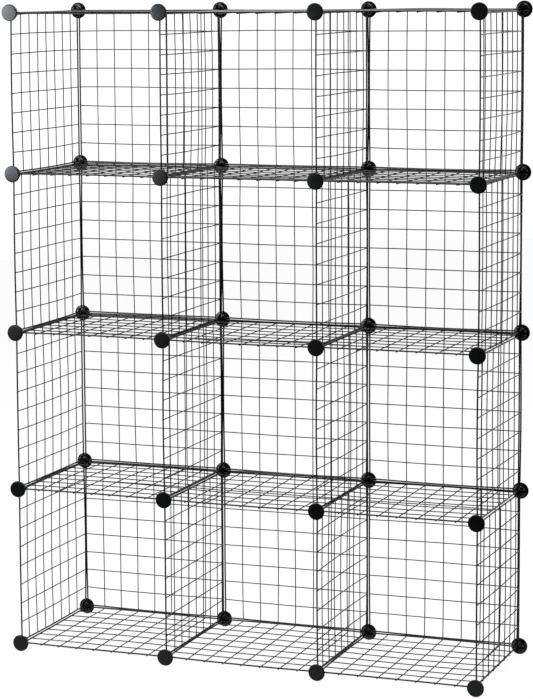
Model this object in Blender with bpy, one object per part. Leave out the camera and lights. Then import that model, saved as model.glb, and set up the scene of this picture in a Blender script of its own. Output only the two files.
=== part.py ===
"""Wire cube storage unit: square grid panels held at their corners by round plastic connectors.

Units are metres, +Z is up and the open side faces -Y. The origin is the middle of the footprint,
on the floor. The unit stands on the rims of its lowest connectors.
"""

import math

import bmesh
import bpy
from mathutils import Matrix, Vector

# Driving dimensions.
COLUMNS = 3
ROWS = 4
PITCH = 0.355  # from one connector to the next, both ways
PANEL_SIZE = 0.350  # outer size of a square panel
SQUARES = 8  # squares along one side of a panel

FRAME_WIRE = 0.0035  # thickness of a panel's outer wire
FRAME_CORNER = 0.005  # how far the outer wire's corners are cut back
GRID_WIRE = 0.0015  # thickness of the wires inside a panel
LAYER_GAP = 0.0003  # between the two layers of inner wires

CAP_RADIUS = 0.0185
CAP_THICKNESS = 0.004
CAP_SIDES = 20
GROOVE = 0.004  # takes the corners of the back panels, between cap and petals
CORE_RADIUS = 0.006  # stem that joins the cap to the petals across the groove
PETAL_RADIUS = 0.0135
PETAL_LENGTH = 0.0105
PETAL_ARC_SIDES = 3
SLOT = 0.004  # width of the cross slot between the petals
FIT = 0.0003  # from a panel's edge to the bottom of the slot

LINK_WIDTH = 0.0024  # tie between neighbouring panels of one wall, hidden in a connector
LINK_LENGTH = 0.0025
JOIN = 0.001  # how far a wire's end reaches into the wire that it meets

# Sizes that follow.
SLOT_DEPTH = CAP_THICKNESS + GROOVE
DEPTH = PANEL_SIZE + 2 * (SLOT_DEPTH + FIT)
BACK_WALL_Y = DEPTH / 2 - CAP_THICKNESS - GROOVE / 2
INNER_SIZE = PANEL_SIZE - 2 * FRAME_WIRE
PANEL_GAP = PITCH - PANEL_SIZE
LAYER_HEIGHT = (LAYER_GAP + GRID_WIRE) / 2
WIRE_PITCH = (PANEL_SIZE - FRAME_WIRE) / SQUARES


def clear_scene():
    for obj in list(bpy.data.objects):
        bpy.data.objects.remove(obj, do_unlink=True)


def make_material(name, colour, roughness):
    material = bpy.data.materials.new(name)
    material.use_nodes = True
    shader = material.node_tree.nodes["Principled BSDF"]
    shader.inputs["Base Color"].default_value = (*colour, 1)
    shader.inputs["Roughness"].default_value = roughness
    shader.inputs["Metallic"].default_value = 0
    material.diffuse_color = (*colour, 1)
    return material


def column_x(column):
    """X of a line of connectors, counted from the left."""
    return (column - COLUMNS / 2) * PITCH


def level_z(level):
    """Height of a line of connectors, counted from the floor."""
    return CAP_RADIUS + level * PITCH


def add_box(shapes, low, high):
    """Adds an axis-aligned box between two corners to a bmesh."""
    size = Vector(high) - Vector(low)
    middle = (Vector(high) + Vector(low)) / 2
    matrix = Matrix.Translation(middle) @ Matrix.Diagonal((*size, 1))
    bmesh.ops.create_cube(shapes, size=1, matrix=matrix)


# Panels. Each is drawn lying down, its grid in the XY plane and its middle at (x, y, 0).


def frame_outline(x, y):
    """Outer and inner outlines of a panel's outer wire, with a point on each side of every corner."""
    half = PANEL_SIZE / 2
    near = half - FRAME_CORNER
    inside = INNER_SIZE / 2
    outer = []
    inner = []
    for quarter in range(4):
        turn = Matrix.Rotation(quarter * math.pi / 2, 4, "Z")
        centre = Vector((x, y, 0))
        outer.append(centre + turn @ Vector((half, near, 0)))
        outer.append(centre + turn @ Vector((near, half, 0)))
        inner.append(centre + turn @ Vector((inside, inside, 0)))
    return outer, inner


def add_frame(shapes, x, y):
    """Adds the closed ring of a panel's outer wire."""
    outer, inner = frame_outline(x, y)
    rings = []
    for height in (-FRAME_WIRE / 2, FRAME_WIRE / 2):
        lift = Vector((0, 0, height))
        outer_ring = [shapes.verts.new(point + lift) for point in outer]
        inner_ring = [shapes.verts.new(point + lift) for point in inner]
        rings.append((outer_ring, inner_ring))
    for (outer_ring, inner_ring), upwards in zip(rings, (False, True)):
        for quarter in range(4):
            first, last = outer_ring[2 * quarter], outer_ring[2 * quarter + 1]
            following = outer_ring[(2 * quarter + 2) % len(outer_ring)]
            corner, next_corner = inner_ring[quarter], inner_ring[(quarter + 1) % 4]
            for loop in ((first, last, corner), (last, following, next_corner, corner)):
                shapes.faces.new(loop if upwards else loop[::-1])
    (low_outer, low_inner), (high_outer, high_inner) = rings
    add_wall(shapes, low_outer, high_outer)
    add_wall(shapes, high_inner, low_inner)


def add_wall(shapes, low, high):
    """Joins two closed rings of points, in the same order, with a strip of quads."""
    for index, start in enumerate(low):
        after = (index + 1) % len(low)
        shapes.faces.new((start, low[after], high[after], high[index]))


def add_grid(shapes, x, y):
    """Adds the two layers of straight wires inside a panel."""
    reach = INNER_SIZE / 2 + JOIN
    half = GRID_WIRE / 2
    for index in range(1, SQUARES):
        across = (index - SQUARES / 2) * WIRE_PITCH
        add_box(
            shapes,
            (x + across - half, y - reach, LAYER_HEIGHT - half),
            (x + across + half, y + reach, LAYER_HEIGHT + half),
        )
        add_box(
            shapes,
            (x - reach, y + across - half, -LAYER_HEIGHT - half),
            (x + reach, y + across + half, -LAYER_HEIGHT + half),
        )


def add_link(shapes, x, y, spans_y):
    """Adds a short tie across the gap between two neighbouring frames."""
    across = PANEL_GAP / 2 + JOIN
    along = LINK_LENGTH / 2
    half = Vector((along, across, LINK_WIDTH / 2) if spans_y else (across, along, LINK_WIDTH / 2))
    middle = Vector((x, y, 0))
    add_box(shapes, middle - half, middle + half)


def united(name, frames, wires):
    """One solid mesh from separate frames and the wires that end in them."""
    pieces = []
    for label, shapes in (("frames", frames), ("wires", wires)):
        bmesh.ops.recalc_face_normals(shapes, faces=shapes.faces)
        mesh = bpy.data.meshes.new(f"{name}_{label}")
        shapes.to_mesh(mesh)
        shapes.free()
        pieces.append(bpy.data.objects.new(f"{name}_{label}", mesh))
        bpy.context.scene.collection.objects.link(pieces[-1])
    body, cutter = pieces
    union = body.modifiers.new("join_wires", "BOOLEAN")
    union.operation = "UNION"
    union.object = cutter
    graph = bpy.context.evaluated_depsgraph_get()
    mesh = bpy.data.meshes.new_from_object(body.evaluated_get(graph))
    mesh.name = name
    for piece in pieces:
        bpy.data.objects.remove(piece, do_unlink=True)
    return mesh


def shelf_mesh():
    """One panel."""
    frames = bmesh.new()
    wires = bmesh.new()
    add_frame(frames, 0, 0)
    add_grid(wires, 0, 0)
    return united("shelf_panel", frames, wires)


def upright_mesh():
    """A column of panels, tied where they meet inside the front and back connectors."""
    frames = bmesh.new()
    wires = bmesh.new()
    link_x = PANEL_SIZE / 2 - FRAME_CORNER - LINK_LENGTH / 2
    for row in range(ROWS):
        y = (row + 0.5) * PITCH
        add_frame(frames, 0, y)
        add_grid(wires, 0, y)
        if row:
            for x in (-link_x, link_x):
                add_link(wires, x, row * PITCH, spans_y=True)
    return united("upright_wall", frames, wires)


def back_wall_mesh():
    """The grid of panels that closes the back, tied where they meet beside the connectors."""
    frames = bmesh.new()
    wires = bmesh.new()
    from_node = PANEL_GAP / 2 + FRAME_CORNER + LINK_LENGTH / 2
    for column in range(COLUMNS):
        x = column_x(column + 0.5)
        for row in range(ROWS):
            y = (row + 0.5) * PITCH
            add_frame(frames, x, y)
            add_grid(wires, x, y)
            if row:
                add_link(wires, column_x(column) + from_node, row * PITCH, spans_y=True)
            if column:
                add_link(wires, column_x(column), row * PITCH + from_node, spans_y=False)
    return united("back_wall", frames, wires)


# Connectors. Each is drawn with its cap's outer face at Y = 0 and its petals towards +Y.


def cap_outline(depth):
    """The cap's rim, with flat facets at its lowest, highest, leftmost and rightmost places."""
    points = []
    reach = CAP_RADIUS / math.cos(math.pi / CAP_SIDES)
    for index in range(CAP_SIDES):
        angle = 2 * math.pi * (index + 0.5) / CAP_SIDES
        points.append(Vector((reach * math.cos(angle), depth, reach * math.sin(angle))))
    return points


def petal_outline():
    """Corner, stem edge and rim of the petal in the first quarter, as (x, z) pairs."""
    side = SLOT / 2
    stem = math.sqrt(CORE_RADIUS**2 - side**2)
    start = math.asin(side / PETAL_RADIUS)
    sweep = math.pi / 2 - 2 * start
    rim = []
    for index in range(PETAL_ARC_SIDES + 1):
        angle = start + sweep * index / PETAL_ARC_SIDES
        rim.append((PETAL_RADIUS * math.cos(angle), PETAL_RADIUS * math.sin(angle)))
    return (side, side), (stem, side), (side, stem), rim


def add_points(shapes, pairs, quarter, depth):
    """New points at some (x, z) pairs, after some quarter turns about the connector's axis."""
    points = []
    for x, z in pairs:
        for _ in range(quarter):
            x, z = -z, x
        points.append(shapes.verts.new((x, depth, z)))
    return points


def add_petal(shapes, quarter):
    """Adds a petal's sides and ends, and returns the points of its foot that the stem and slot share."""
    corner, stem_low, stem_high, rim = petal_outline()
    foot = add_points(shapes, (corner, stem_low, stem_high, *rim), quarter, SLOT_DEPTH)
    tip = add_points(shapes, (corner, *rim), quarter, SLOT_DEPTH + PETAL_LENGTH)
    foot_corner, foot_low, foot_high, *foot_rim = foot
    tip_corner, *tip_rim = tip
    shapes.faces.new([foot_low, *foot_rim, foot_high])
    shapes.faces.new(tip)
    shapes.faces.new([foot_corner, foot_low, foot_rim[0], tip_rim[0], tip_corner])
    shapes.faces.new([foot_corner, tip_corner, tip_rim[-1], foot_rim[-1], foot_high])
    for index in range(PETAL_ARC_SIDES):
        after = index + 1
        shapes.faces.new((foot_rim[index], foot_rim[after], tip_rim[after], tip_rim[index]))
    return foot_low, foot_corner, foot_high


def connector_mesh():
    """Cap, stem and four petals as one moulding."""
    shapes = bmesh.new()
    outer_face = [shapes.verts.new(point) for point in cap_outline(0)]
    inner_face = [shapes.verts.new(point) for point in cap_outline(CAP_THICKNESS)]
    shapes.faces.new(outer_face)
    add_wall(shapes, outer_face, inner_face)

    _, stem_low, stem_high, _ = petal_outline()
    stem_at_cap = []
    stem_at_slot = []
    slot_bottom = []
    for quarter in range(4):
        foot_low, foot_corner, foot_high = add_petal(shapes, quarter)
        stem_at_cap += add_points(shapes, (stem_low, stem_high), quarter, CAP_THICKNESS)
        stem_at_slot += [foot_low, foot_high]
        slot_bottom += [foot_low, foot_corner, foot_high]
    shapes.faces.new(slot_bottom)
    add_wall(shapes, stem_at_cap, stem_at_slot)
    edges = [edge for edge in shapes.edges if edge.is_boundary]
    bmesh.ops.bridge_loops(shapes, edges=edges)
    bmesh.ops.recalc_face_normals(shapes, faces=shapes.faces)

    mesh = bpy.data.meshes.new("connector")
    shapes.to_mesh(mesh)
    shapes.free()
    mesh.shade_smooth()
    mesh.set_sharp_from_angle(angle=math.radians(30))
    return mesh


def place(name, mesh, location, rotation, parent):
    """One named object that stands at its place in the unit."""
    obj = bpy.data.objects.new(name, mesh)
    obj.location = location
    obj.rotation_euler = rotation
    obj.parent = parent
    bpy.context.scene.collection.objects.link(obj)


def place_panels(material, parent):
    shelf = shelf_mesh()
    upright = upright_mesh()
    back = back_wall_mesh()
    for mesh in (shelf, upright, back):
        mesh.materials.clear()
        mesh.materials.append(material)
    for level in range(ROWS + 1):
        for column in range(COLUMNS):
            location = (column_x(column + 0.5), 0, level_z(level))
            place(f"shelf_panel_level_{level}_bay_{column + 1}", shelf, location, (0, 0, 0), parent)
    for column in range(COLUMNS + 1):
        location = (column_x(column), 0, level_z(0))
        turn = (math.pi / 2, 0, math.pi / 2)
        place(f"upright_grid_wall_{column + 1}", upright, location, turn, parent)
    place("back_grid_wall", back, (0, BACK_WALL_Y, level_z(0)), (math.pi / 2, 0, 0), parent)


def place_connectors(material, parent):
    connector = connector_mesh()
    connector.materials.append(material)
    for side, y, turn in (("front", -DEPTH / 2, 0), ("back", DEPTH / 2, math.pi)):
        for level in range(ROWS + 1):
            for column in range(COLUMNS + 1):
                location = (column_x(column), y, level_z(level))
                name = f"{side}_connector_level_{level}_post_{column + 1}"
                place(name, connector, location, (0, 0, turn), parent)


def main():
    clear_scene()
    unit = bpy.data.objects.new("cube_storage_unit", None)
    bpy.context.scene.collection.objects.link(unit)
    wire = make_material("black_coated_wire", (0.02, 0.02, 0.022), 0.3)
    plastic = make_material("black_plastic", (0.022, 0.024, 0.028), 0.4)
    place_panels(wire, unit)
    place_connectors(plastic, unit)


main()
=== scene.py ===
"""Looks of the wire cube storage unit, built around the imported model.

Units are metres, +Z is up and the open side faces -Y.
"""

import math
import random

import bmesh
import bpy
from mathutils import Matrix, Vector


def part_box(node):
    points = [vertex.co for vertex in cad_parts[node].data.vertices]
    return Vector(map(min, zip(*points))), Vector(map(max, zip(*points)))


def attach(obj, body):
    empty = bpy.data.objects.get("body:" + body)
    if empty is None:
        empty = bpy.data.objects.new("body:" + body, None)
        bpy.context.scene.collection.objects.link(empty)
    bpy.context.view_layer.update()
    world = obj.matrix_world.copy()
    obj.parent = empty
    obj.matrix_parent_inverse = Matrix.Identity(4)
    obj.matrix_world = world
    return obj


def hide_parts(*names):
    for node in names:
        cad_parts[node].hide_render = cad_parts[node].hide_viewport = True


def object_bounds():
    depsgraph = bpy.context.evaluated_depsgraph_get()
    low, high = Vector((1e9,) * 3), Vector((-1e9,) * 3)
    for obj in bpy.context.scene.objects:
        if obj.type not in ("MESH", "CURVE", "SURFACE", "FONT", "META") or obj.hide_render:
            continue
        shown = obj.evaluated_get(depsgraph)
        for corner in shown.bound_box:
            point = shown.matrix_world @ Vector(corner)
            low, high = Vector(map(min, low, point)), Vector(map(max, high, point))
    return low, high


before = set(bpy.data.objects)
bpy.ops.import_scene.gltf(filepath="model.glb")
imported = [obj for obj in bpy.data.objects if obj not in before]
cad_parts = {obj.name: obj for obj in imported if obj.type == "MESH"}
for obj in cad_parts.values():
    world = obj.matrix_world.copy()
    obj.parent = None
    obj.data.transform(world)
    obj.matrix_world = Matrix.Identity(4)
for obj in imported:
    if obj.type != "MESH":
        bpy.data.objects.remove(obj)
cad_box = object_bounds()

MM = 0.001
BODY = "root"

# Panels.
SQUARES = 8  # squares along one side
FRAME_RADIUS = 1.75 * MM  # outer wire
GRID_RADIUS = 1.17 * MM  # wires inside
CORNER_RADIUS = 6.8 * MM  # outer wire's bend, along its middle
LAP_HEIGHT = 2.6 * MM  # of the wires that lap over the outer wire, above the panel's middle
BUTT_HEIGHT = 0.6 * MM  # of the wires that end against it
END_MARGIN = 0.5 * MM  # from a lapped wire's end to the panel's edge
WELD_SIZE = 1.2 * MM  # half of a bead's width
WELD_FLATNESS = 0.8  # a bead's height, as a share of its width
CROSSING_WELD = 0.9  # size of a bead where inner wires cross, as a share of those at the ends
BUTT_OVERLAP = 0.4 * FRAME_RADIUS  # how far a wire's end is sunk into the outer wire
WIRE_END = ((0.45, 0.6), (0.15, 0.92), (-0.2, 1.0))  # (reach, radius) of a blunt end, in wire radii
FRAME_SIDES = 14
GRID_SIDES = 8
STRAIGHT_STEPS = 12
CORNER_STEPS = 6
WIRE_SHARP_ANGLE = math.radians(50)

# How far hand-made panels stray from flat and square.
EDGE_BOW = (0.5 * MM, 2.1 * MM)  # outwards, at the middle of an edge
EDGE_LIFT = 1.6 * MM  # out of the panel's plane, either way
BELLY = 3.5 * MM  # of the middle, either way
WIRE_SHIFT = 0.35 * MM
WIRE_BEND = 0.9 * MM

# Connectors. Depths run from the cap's outer face towards the inside of the unit.
CAP_EDGE = 1.6 * MM  # rounding of the cap's outer edge
CAP_DOME = 0.2 * MM
CAP_DEPTH = 4.0 * MM
CAP_DOME_STEPS = 6
CAP_EDGE_STEPS = 6
CAP_BACK_EDGE = 0.4 * MM  # rounding of the cap's inner edge
CAP_BACK_BEND = (0.375, 0.3)  # where that rounding bends, as shares of it
SLOT_DEPTH = 8.0 * MM
STEM_RADIUS = 6.0 * MM
STEM_FILLET = 0.5 * MM
SLOT_HALF = 2.0 * MM
PETAL_RADIUS = 13.5 * MM
PETAL_DRAFT = 0.35 * MM  # how much a petal narrows towards its tip
PETAL_EDGE = 0.8 * MM
PETAL_FOOT = ((-0.35 * MM, 0.45 * MM), (0, 0.12 * MM), (0.4 * MM, 0))  # (depth past the slot, inset)
PETAL_BEVEL = ((1, 0), (0.4, 0.25), (0, 0.8))  # (depth before the tip, inset), in petal edges
PETAL_FILLET = 1.0 * MM  # rounding of a petal's upright edges
SMALLEST_FILLET = 0.3 * MM
FILLET_STEPS = 4
PETAL_ARC_STEPS = 12
ROUND_STEPS = 72
CONNECTOR_SHARP_ANGLE = math.radians(40)

# Finishes.
DRIFT_SCALE = 38.0  # patches of colour and gloss to a metre
DRIFT_RANGE = (0.3, 0.7)  # of the noise that gives the least and the most gloss
GRAIN_STRENGTH = 0.6

# Floor.
FLOOR_RADIUS = 5.0
FLOOR_IN_FRONT = 0.5
FLOOR_SEEN = 0.95  # its own glow, as the camera sees it
FLOOR_REFLECTED = 0.3  # and as the unit reflects it

# Studio. Glows are radiances, and ranges are in the Y or Z of a direction.
BACKDROP_GLOW = 1.0  # behind the unit, as the unit reflects it
BACKDROP_SIDES = (0.45, 0.85)  # Y where it starts, and where it is full
BACKDROP_TOP = (0.12, 0.32)  # Z where it starts to fade, and where it has faded
ABOVE_BACKDROP = 0.06  # share of it that is left there
ROOM_GLOW = 0.02  # all round
SEEN_GLOW = 1.08  # of the upper backdrop, as the camera sees it
SEEN_HORIZON = (-0.12, -0.05)  # Z where that starts, and where it is full
OVERHEAD_STRENGTH = 0.35
OVERHEAD_SPREAD = 110  # degrees
OVERHEAD_DIRECTION = (0.15, 0.25, -1)
WHITE = (1.0, 1.0, 1.0)
CEILING_PLACE = (0, 0.6, 3.3)
CEILING_FACING = (0, -0.1, -1)
CEILING_SIZE = (3.2, 3.8)
CEILING_GLOW = 4.6
COOL_WHITE = (0.86, 0.93, 1.0)
KEY_PLACE = (-2.276, -3.005, 1.46)
KEY_FACING = (0.5255, 0.8508, 0)
KEY_SIZE = (0.8, 1.3)
KEY_GLOW = 13.7

# Camera, measured from the unit's middle, its front face and the middle of its lowest connectors.
CAMERA_RIGHT = 1.915
CAMERA_IN_FRONT = 4.948
CAMERA_ABOVE = 1.484
CAMERA_TURN = math.radians(-21.705)
CAMERA_TILT = math.radians(-7.279)
CAMERA_ROLL = math.radians(-0.449)
LENS_MM = 128.3
SHIFT_X = 0.0758
SHIFT_Y = -0.0710


def link(obj):
    bpy.context.scene.collection.objects.link(obj)
    return obj


# Places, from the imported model.


def node_boxes(prefix):
    """Name, lowest corner and highest corner of each node whose name starts so, in name order."""
    names = sorted(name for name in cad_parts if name.startswith(prefix))
    return [(name, *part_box(name)) for name in names]


def middle(low, high):
    return (low + high) / 2


# Materials.


def add_node(material, kind, **inputs):
    node = material.node_tree.nodes.new(kind)
    for name, value in inputs.items():
        node.inputs[name.replace("_", " ")].default_value = value
    return node


def black_material(name, colour, tint, roughness, grain_scale, grain_height):
    """A black finish whose colour and gloss drift a little, over a fine uneven grain.

    roughness is its range, and tint the colour that it drifts to.
    """
    material = bpy.data.materials.new(name)
    material.use_nodes = True
    links = material.node_tree.links
    shader = material.node_tree.nodes["Principled BSDF"]
    shader.inputs["IOR"].default_value = 1.5
    place = material.node_tree.nodes.new("ShaderNodeTexCoord")

    drift = add_node(material, "ShaderNodeTexNoise", Scale=DRIFT_SCALE, Detail=3.0, Roughness=0.55)
    colours = material.node_tree.nodes.new("ShaderNodeMix")
    colours.data_type = "RGBA"
    colours.inputs["A"].default_value = (*colour, 1)
    colours.inputs["B"].default_value = (*tint, 1)
    gloss = add_node(material, "ShaderNodeMapRange", To_Min=roughness[0], To_Max=roughness[1])
    gloss.inputs["From Min"].default_value = DRIFT_RANGE[0]
    gloss.inputs["From Max"].default_value = DRIFT_RANGE[1]
    links.new(place.outputs["Object"], drift.inputs["Vector"])
    links.new(drift.outputs["Fac"], colours.inputs["Factor"])
    links.new(colours.outputs["Result"], shader.inputs["Base Color"])
    links.new(drift.outputs["Fac"], gloss.inputs["Value"])
    links.new(gloss.outputs["Result"], shader.inputs["Roughness"])

    grain = add_node(material, "ShaderNodeTexNoise", Scale=grain_scale, Detail=2.0, Roughness=0.5)
    bump = add_node(material, "ShaderNodeBump", Strength=GRAIN_STRENGTH, Distance=grain_height)
    links.new(place.outputs["Object"], grain.inputs["Vector"])
    links.new(grain.outputs["Fac"], bump.inputs["Height"])
    links.new(bump.outputs["Normal"], shader.inputs["Normal"])
    return material


def wire_coating():
    """Glossy black coating."""
    return black_material(
        "wire_coating",
        colour=(0.004, 0.004, 0.0043),
        tint=(0.007, 0.007, 0.0075),
        roughness=(0.14, 0.24),
        grain_scale=420.0,
        grain_height=0.03 * MM,
    )


def connector_plastic():
    """Satin black moulded plastic."""
    return black_material(
        "connector_plastic",
        colour=(0.003, 0.0033, 0.0038),
        tint=(0.005, 0.0055, 0.006),
        roughness=(0.25, 0.3),
        grain_scale=900.0,
        grain_height=0.008 * MM,
    )


def floor_material():
    """A white floor that takes faint shadows. What the unit reflects of it is dimmer than what shows."""
    material = bpy.data.materials.new("pale_floor")
    material.use_nodes = True
    tree = material.node_tree
    shader = tree.nodes["Principled BSDF"]
    shader.inputs["Base Color"].default_value = (0.05, 0.05, 0.05, 1)
    shader.inputs["Roughness"].default_value = 0.8
    shader.inputs["Specular IOR Level"].default_value = 0.1
    shader.inputs["Emission Color"].default_value = (1, 1, 1, 1)
    path = tree.nodes.new("ShaderNodeLightPath")
    seen = tree.nodes.new("ShaderNodeMapRange")
    seen.inputs["To Min"].default_value = FLOOR_REFLECTED
    seen.inputs["To Max"].default_value = FLOOR_SEEN
    tree.links.new(path.outputs["Is Camera Ray"], seen.inputs["Value"])
    tree.links.new(seen.outputs["Result"], shader.inputs["Emission Strength"])
    return material


# Wire.


class Shell:
    """Points and faces of a mesh under construction."""

    def __init__(self):
        self.points = []
        self.faces = []

    def add_ring(self, centre, side, up, radius, sides):
        start = len(self.points)
        for index in range(sides):
            angle = 2 * math.pi * index / sides
            self.points.append(centre + radius * (math.cos(angle) * side + math.sin(angle) * up))
        return start

    def join_rings(self, first, second, sides):
        for index in range(sides):
            after = (index + 1) % sides
            self.faces.append((first + index, first + after, second + after, second + index))

    def add_wire(self, path, radius, sides, closed):
        """A round wire along some points that lie near the XY plane."""
        count = len(path)
        rings = []
        for index, centre in enumerate(path):
            before = path[index - 1] if closed or index else centre
            after = path[(index + 1) % count] if closed or index < count - 1 else centre
            along = (after - before).normalized()
            side = Vector((0, 0, 1)).cross(along).normalized()
            up = along.cross(side)
            ends = () if closed else (0, count - 1)
            if index in ends:
                outwards = -along if index == 0 else along
                end_rings = []
                for reach, width in WIRE_END:
                    place = centre + outwards * radius * reach
                    end_rings.append(self.add_ring(place, side, up, radius * width, sides))
                loop = tuple(range(end_rings[0], end_rings[0] + sides))
                self.faces.append(loop[::-1] if index == 0 else loop)
                rings += end_rings if index == 0 else end_rings[::-1]
            else:
                rings.append(self.add_ring(centre, side, up, radius, sides))
        for first, second in zip(rings, rings[1:]):
            self.join_rings(first, second, sides)
        if closed:
            self.join_rings(rings[-1], rings[0], sides)

    def add_weld(self, centre, size, ball):
        """A small flattened bead of metal where two wires are welded."""
        points, faces = ball
        start = len(self.points)
        stretch = Vector((size, size, size * WELD_FLATNESS))
        self.points += [centre + point * stretch for point in points]
        self.faces += [tuple(start + index for index in face) for face in faces]

    def to_mesh(self, name, material):
        mesh = bpy.data.meshes.new(name)
        mesh.from_pydata([tuple(point) for point in self.points], [], self.faces)
        mesh.materials.append(material)
        mesh.shade_smooth()
        mesh.set_sharp_from_angle(angle=WIRE_SHARP_ANGLE)
        return mesh


def ball_shape():
    """Points and faces of a small round bead of radius 1."""
    shape = bmesh.new()
    bmesh.ops.create_icosphere(shape, subdivisions=1, radius=1)
    points = [vert.co.copy() for vert in shape.verts]
    faces = [tuple(vert.index for vert in face.verts) for face in shape.faces]
    shape.free()
    return points, faces


BALL = ball_shape()


class Warp:
    """How far one panel strays from flat and square. Its corners, held by the connectors, stay put."""

    def __init__(self, chance, size):
        self.size = size
        self.bows = [chance.uniform(*EDGE_BOW) for _ in range(4)]
        self.lifts = [chance.uniform(-EDGE_LIFT, EDGE_LIFT) for _ in range(4)]
        self.belly = chance.uniform(-BELLY, BELLY)

    def __call__(self, x, y, z=0):
        share_x = x / self.size + 0.5
        share_y = y / self.size + 0.5
        wave_x = math.cos(math.pi * x / self.size)
        wave_y = math.cos(math.pi * y / self.size)
        left, right, low, high = self.bows
        out_x = (right * share_x - left * (1 - share_x)) * wave_y
        out_y = (high * share_y - low * (1 - share_y)) * wave_x
        left, right, low, high = self.lifts
        lift = (right * share_x + left * (1 - share_x)) * wave_y
        lift += (high * share_y + low * (1 - share_y)) * wave_x
        lift += self.belly * wave_x * wave_y
        return Vector((x + out_x, y + out_y, z + lift))


def frame_path(size):
    """The outer wire's middle line: a square with round corners, with points along its sides."""
    reach = size / 2 - FRAME_RADIUS
    near = reach - CORNER_RADIUS
    path = []
    for quarter in range(4):
        turn = Matrix.Rotation(quarter * math.pi / 2, 2)
        for step in range(CORNER_STEPS + 1):
            angle = math.pi / 2 * step / CORNER_STEPS
            corner_x = near + CORNER_RADIUS * math.cos(angle)
            corner_y = near + CORNER_RADIUS * math.sin(angle)
            path.append(turn @ Vector((corner_x, corner_y)))
        for step in range(1, STRAIGHT_STEPS):
            along = near - 2 * near * step / STRAIGHT_STEPS
            path.append(turn @ Vector((along, reach)))
    return path


def grid_line(chance, size, reach, index):
    """(along, across) points of one inner wire, slightly bent and out of place."""
    pitch = (size - 2 * FRAME_RADIUS) / SQUARES
    across = (index - SQUARES / 2) * pitch + chance.uniform(-WIRE_SHIFT, WIRE_SHIFT)
    bend = chance.uniform(-WIRE_BEND, WIRE_BEND)
    swing = chance.uniform(-WIRE_BEND, WIRE_BEND) / 2
    line = []
    steps = STRAIGHT_STEPS + 2
    for step in range(steps + 1):
        share = step / steps
        wander = bend * math.sin(math.pi * share) + swing * math.sin(2 * math.pi * share)
        line.append(((2 * share - 1) * reach, across + wander))
    return line


def across_at(line, along):
    """Where an inner wire is, across, at a distance along it."""
    for (start, here), (end, there) in zip(line, line[1:]):
        if start <= along <= end:
            return here + (there - here) * (along - start) / (end - start)
    return line[-1][1]


def panel_mesh(name, chance, size, material):
    """One welded panel, lying in the XY plane.

    The wires along Y lap over the outer wire, on its +Z side. Those along X end against it.
    """
    warp = Warp(chance, size)
    shell = Shell()
    shell.add_wire([warp(*point) for point in frame_path(size)], FRAME_RADIUS, FRAME_SIDES, closed=True)

    lap_reach = size / 2 - END_MARGIN
    butt_reach = size / 2 - 2 * FRAME_RADIUS + BUTT_OVERLAP
    frame_line = size / 2 - FRAME_RADIUS
    indices = range(1, SQUARES)
    lapped = [grid_line(chance, size, lap_reach, index) for index in indices]
    butted = [grid_line(chance, size, butt_reach, index) for index in indices]
    for line in lapped:
        path = [warp(across, along, LAP_HEIGHT) for along, across in line]
        shell.add_wire(path, GRID_RADIUS, GRID_SIDES, closed=False)
        for end in (-frame_line, frame_line):
            place = warp(across_at(line, end), end, (LAP_HEIGHT + FRAME_RADIUS) / 2)
            shell.add_weld(place, WELD_SIZE, BALL)
    for line in butted:
        path = [warp(along, across, BUTT_HEIGHT) for along, across in line]
        shell.add_wire(path, GRID_RADIUS, GRID_SIDES, closed=False)
        for end in (-butt_reach, butt_reach):
            shell.add_weld(warp(end, across_at(line, end), BUTT_HEIGHT), WELD_SIZE, BALL)
    for upper in lapped:
        for lower in butted:
            y = across_at(lower, across_at(upper, 0))
            x = across_at(upper, y)
            height = (LAP_HEIGHT + BUTT_HEIGHT) / 2
            shell.add_weld(warp(x, y, height), WELD_SIZE * CROSSING_WELD, BALL)
    return shell.to_mesh(name, material)


# Ways that a panel faces: the world directions of its own X, Y and Z.
LYING = (Vector((1, 0, 0)), Vector((0, -1, 0)), Vector((0, 0, -1)))
UPRIGHT = (Vector((0, 1, 0)), Vector((0, 0, 1)), Vector((1, 0, 0)))
UPRIGHT_TURNED = (Vector((0, -1, 0)), Vector((0, 0, 1)), Vector((-1, 0, 0)))
BACK = (Vector((-1, 0, 0)), Vector((0, 0, 1)), Vector((0, 1, 0)))


def add_panel(name, centre, axes, size, material, node):
    chance = random.Random(name)
    panel = link(bpy.data.objects.new(name, panel_mesh(name, chance, size, material)))
    turn = Matrix(axes).transposed().to_4x4()
    panel.matrix_world = Matrix.Translation(centre) @ turn
    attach(panel, BODY)
    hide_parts(node)


def add_panels(material):
    """Every panel, in the place of the shelf that it is or of the wall that it is part of."""
    shelves = node_boxes("shelf_panel")
    size = shelves[0][2].x - shelves[0][1].x
    for node, low, high in shelves:
        name = node.replace("shelf_panel", "shelf_grid")
        add_panel(name, middle(low, high), LYING, size, material, node)
    heights = sorted({round(middle(low, high).z, 5) for _, low, high in shelves})
    bays = sorted({round(middle(low, high).x, 5) for _, low, high in shelves})
    rows = [(lower + upper) / 2 for lower, upper in zip(heights, heights[1:])]
    for post, (node, low, high) in enumerate(node_boxes("upright_grid_wall"), 1):
        for row, height in enumerate(rows, 1):
            centre = middle(low, high)
            centre.z = height
            axes = UPRIGHT if (post + row) % 2 else UPRIGHT_TURNED
            add_panel(f"upright_grid_post_{post}_row_{row}", centre, axes, size, material, node)
    for node, low, high in node_boxes("back_grid_wall"):
        for bay, across in enumerate(bays, 1):
            for row, height in enumerate(rows, 1):
                centre = Vector((across, middle(low, high).y, height))
                add_panel(f"back_grid_bay_{bay}_row_{row}", centre, BACK, size, material, node)


# Connectors. Each is drawn with its cap's outer face at Y = 0 and its petals towards +Y.


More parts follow.
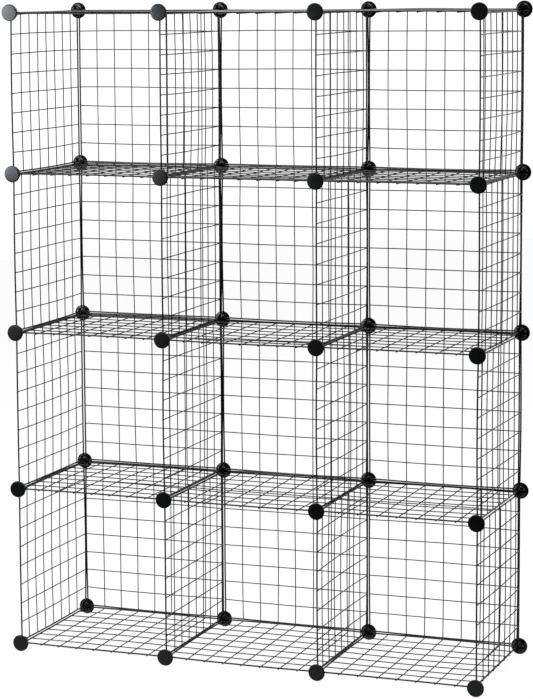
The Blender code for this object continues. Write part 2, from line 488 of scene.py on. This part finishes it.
def cap_profile(radius):
    """(radius, depth) down the turned part: domed cap, rounded edges and stem."""
    profile = []
    for step in range(1, CAP_DOME_STEPS + 1):
        share = step / CAP_DOME_STEPS
        profile.append(((radius - CAP_EDGE) * share, CAP_DOME * share**2))
    for step in range(1, CAP_EDGE_STEPS + 1):
        angle = math.pi / 2 * step / CAP_EDGE_STEPS
        turn_in = CAP_EDGE * (1 - math.sin(angle))
        profile.append((radius - turn_in, CAP_DOME + (CAP_EDGE - CAP_DOME) * (1 - math.cos(angle))))
    profile.append((radius, CAP_DEPTH - CAP_BACK_EDGE))
    profile.append((radius - CAP_BACK_EDGE * CAP_BACK_BEND[0], CAP_DEPTH - CAP_BACK_EDGE * CAP_BACK_BEND[1]))
    profile.append((radius - CAP_BACK_EDGE, CAP_DEPTH))
    profile.append((STEM_RADIUS + STEM_FILLET, CAP_DEPTH))
    profile.append((STEM_RADIUS, CAP_DEPTH + STEM_FILLET))
    profile.append((STEM_RADIUS, SLOT_DEPTH))
    return profile


def add_turned(shape, profile):
    """Adds a closed turned solid from a profile that starts and ends off the axis."""
    rings = []
    for radius, depth in profile:
        ring = []
        for step in range(ROUND_STEPS):
            angle = 2 * math.pi * step / ROUND_STEPS
            ring.append(shape.verts.new((radius * math.cos(angle), depth, radius * math.sin(angle))))
        rings.append(ring)
    for first, second in zip(rings, rings[1:]):
        for index in range(ROUND_STEPS):
            after = (index + 1) % ROUND_STEPS
            shape.faces.new((first[index], first[after], second[after], second[index]))
    for ring, depth in ((rings[0], profile[0][1] * 0.5), (rings[-1], profile[-1][1])):
        hub = shape.verts.new((0, depth, 0))
        for index in range(ROUND_STEPS):
            shape.faces.new((ring[index], ring[(index + 1) % ROUND_STEPS], hub))


def petal_loop(inset, quarter):
    """Outline of one petal, drawn in by some distance, with rounded corners."""
    side = SLOT_HALF + inset
    radius = PETAL_RADIUS - inset
    fillet = max(PETAL_FILLET - inset / 2, SMALLEST_FILLET)
    loop = []

    def arc(centre, size, start, end, steps):
        for step in range(steps + 1):
            angle = start + (end - start) * step / steps
            loop.append((centre[0] + size * math.cos(angle), centre[1] + size * math.sin(angle)))

    reach = radius - fillet
    along = math.sqrt(reach**2 - (side + fillet) ** 2)
    lean = math.atan2(side + fillet, along)
    arc((side + fillet, side + fillet), fillet, math.pi * 1.5, math.pi, FILLET_STEPS)
    arc((side + fillet, along), fillet, math.pi, math.pi / 2 - lean, FILLET_STEPS)
    arc((0, 0), radius, math.pi / 2 - lean, lean, PETAL_ARC_STEPS)
    arc((along, side + fillet), fillet, lean, -math.pi / 2, FILLET_STEPS)
    turned = []
    for x, z in loop:
        for _ in range(quarter):
            x, z = -z, x
        turned.append((x, z))
    return turned


def add_petal(shape, quarter, tip_depth):
    """Adds one petal: a rounded quarter that narrows towards a bevelled tip.

    Each level is a depth and how far the outline is drawn in there.
    """
    levels = [(SLOT_DEPTH + depth, inset) for depth, inset in PETAL_FOOT]
    for depth, inset in PETAL_BEVEL:
        levels.append((tip_depth - PETAL_EDGE * depth, PETAL_DRAFT + PETAL_EDGE * inset))
    rings = []
    for depth, inset in levels:
        rings.append([shape.verts.new((x, depth, z)) for x, z in petal_loop(inset, quarter)])
    count = len(rings[0])
    for first, second in zip(rings, rings[1:]):
        for index in range(count):
            after = (index + 1) % count
            shape.faces.new((first[index], first[after], second[after], second[index]))
    shape.faces.new(rings[0])
    shape.faces.new(rings[-1])


def connector_mesh(radius, length, material):
    """Cap with stem and four petals. Each petal's foot is sunk into the stem."""
    shape = bmesh.new()
    add_turned(shape, cap_profile(radius))
    for quarter in range(4):
        add_petal(shape, quarter, length)
    bmesh.ops.remove_doubles(shape, verts=shape.verts, dist=0.001 * MM)
    bmesh.ops.recalc_face_normals(shape, faces=shape.faces)
    mesh = bpy.data.meshes.new("connector")
    shape.to_mesh(mesh)
    shape.free()
    mesh.materials.append(material)
    mesh.shade_smooth()
    mesh.set_sharp_from_angle(angle=CONNECTOR_SHARP_ANGLE)
    return mesh


def add_connectors(material):
    boxes = node_boxes("front_connector") + node_boxes("back_connector")
    size = boxes[0][2] - boxes[0][1]
    mesh = connector_mesh(size.x / 2, size.y, material)
    for node, low, high in boxes:
        side, _, rest = node.partition("_connector_")
        connector = link(bpy.data.objects.new(f"connector_{side}_{rest}", mesh))
        place = middle(low, high)
        place.y = low.y if side == "front" else high.y
        turn = 0 if side == "front" else math.pi
        connector.matrix_world = Matrix.Translation(place) @ Matrix.Rotation(turn, 4, "Z")
        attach(connector, BODY)
        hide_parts(node)


# Stage.


def add_floor():
    """A pale round floor, most of it behind the unit, so that little of it shows in the caps."""
    shape = bmesh.new()
    bmesh.ops.create_circle(shape, cap_ends=True, radius=FLOOR_RADIUS, segments=128)
    mesh = bpy.data.meshes.new("floor")
    shape.to_mesh(mesh)
    shape.free()
    mesh.materials.append(floor_material())
    floor = link(bpy.data.objects.new("floor", mesh))
    floor.location = (0, cad_box[0].y - FLOOR_IN_FRONT + FLOOR_RADIUS, 0)


def add_softbox(name, place, facing, size, brightness, colour):
    """A rectangular lamp that shines one way. brightness is its face's radiance."""
    data = bpy.data.lights.new(name, "AREA")
    data.shape = "RECTANGLE"
    data.size, data.size_y = size
    data.energy = brightness * math.pi * size[0] * size[1]
    data.color = colour
    lamp = link(bpy.data.objects.new(name, data))
    lamp.location = place
    lamp.rotation_euler = Vector(facing).to_track_quat("-Z", "Y").to_euler()


def add_sky(name, strength, spread, direction):
    """Broad even light from far away, which falls along a direction."""
    data = bpy.data.lights.new(name, "SUN")
    data.energy = strength
    data.angle = math.radians(spread)
    lamp = link(bpy.data.objects.new(name, data))
    lamp.rotation_euler = Vector(direction).to_track_quat("-Z", "Y").to_euler()


def ramp(tree, source, start, end, low, high):
    """A smooth step of a value: low before start, high after end."""
    node = tree.nodes.new("ShaderNodeMapRange")
    node.interpolation_type = "SMOOTHSTEP"
    for name, value in (("From Min", start), ("From Max", end), ("To Min", low), ("To Max", high)):
        node.inputs[name].default_value = value
    tree.links.new(source, node.inputs["Value"])
    return node.outputs["Result"]


def add_studio():
    """White surroundings to look at. Light and reflections get a dim room with a lit backdrop behind."""
    world = bpy.data.worlds.new("studio")
    bpy.context.scene.world = world
    world.use_nodes = True
    tree = world.node_tree
    tree.nodes.clear()
    place = tree.nodes.new("ShaderNodeTexCoord")
    split = tree.nodes.new("ShaderNodeSeparateXYZ")
    tree.links.new(place.outputs["Generated"], split.inputs["Vector"])
    behind = ramp(tree, split.outputs["Y"], *BACKDROP_SIDES, 0, BACKDROP_GLOW)
    not_above = ramp(tree, split.outputs["Z"], *BACKDROP_TOP, 1, ABOVE_BACKDROP)
    backdrop = tree.nodes.new("ShaderNodeMath")
    backdrop.operation = "MULTIPLY_ADD"
    tree.links.new(behind, backdrop.inputs[0])
    tree.links.new(not_above, backdrop.inputs[1])
    backdrop.inputs[2].default_value = ROOM_GLOW
    room = tree.nodes.new("ShaderNodeBackground")
    room.inputs["Color"].default_value = (1, 1, 1, 1)
    tree.links.new(backdrop.outputs["Value"], room.inputs["Strength"])
    white = tree.nodes.new("ShaderNodeBackground")
    white.inputs["Color"].default_value = (1, 1, 1, 1)
    seen = ramp(tree, split.outputs["Z"], *SEEN_HORIZON, 1, SEEN_GLOW)
    tree.links.new(seen, white.inputs["Strength"])
    path = tree.nodes.new("ShaderNodeLightPath")
    mix = tree.nodes.new("ShaderNodeMixShader")
    output = tree.nodes.new("ShaderNodeOutputWorld")
    tree.links.new(path.outputs["Is Camera Ray"], mix.inputs["Fac"])
    tree.links.new(room.outputs["Background"], mix.inputs[1])
    tree.links.new(white.outputs["Background"], mix.inputs[2])
    tree.links.new(mix.outputs["Shader"], output.inputs["Surface"])


def add_camera():
    low, high = cad_box
    _, first_low, first_high = node_boxes("front_connector_level_0")[0]
    data = bpy.data.cameras.new("camera")
    data.sensor_width = 36
    data.lens = LENS_MM
    data.shift_x = SHIFT_X
    data.shift_y = SHIFT_Y
    camera = link(bpy.data.objects.new("camera", data))
    across = Vector((math.cos(CAMERA_TURN), -math.sin(CAMERA_TURN), 0))
    ahead = Vector((math.sin(CAMERA_TURN), math.cos(CAMERA_TURN), 0)) * math.cos(CAMERA_TILT)
    ahead.z = math.sin(CAMERA_TILT)
    up = across.cross(ahead)
    right = math.cos(CAMERA_ROLL) * across + math.sin(CAMERA_ROLL) * up
    above = math.cos(CAMERA_ROLL) * up - math.sin(CAMERA_ROLL) * across
    turn = Matrix((right, above, -ahead)).transposed().to_4x4()
    place = Vector(((low.x + high.x) / 2 + CAMERA_RIGHT, low.y - CAMERA_IN_FRONT, 0))
    place.z = middle(first_low, first_high).z + CAMERA_ABOVE
    camera.matrix_world = Matrix.Translation(place) @ turn
    bpy.context.scene.camera = camera


bpy.context.scene.view_settings.view_transform = "Standard"
add_camera()
add_panels(wire_coating())
add_connectors(connector_plastic())
add_floor()
add_studio()
add_sky("overhead_light", OVERHEAD_STRENGTH, OVERHEAD_SPREAD, OVERHEAD_DIRECTION)
add_softbox("ceiling_softbox", CEILING_PLACE, CEILING_FACING, CEILING_SIZE, CEILING_GLOW, WHITE)
add_softbox("key_softbox", KEY_PLACE, KEY_FACING, KEY_SIZE, KEY_GLOW, COOL_WHITE)
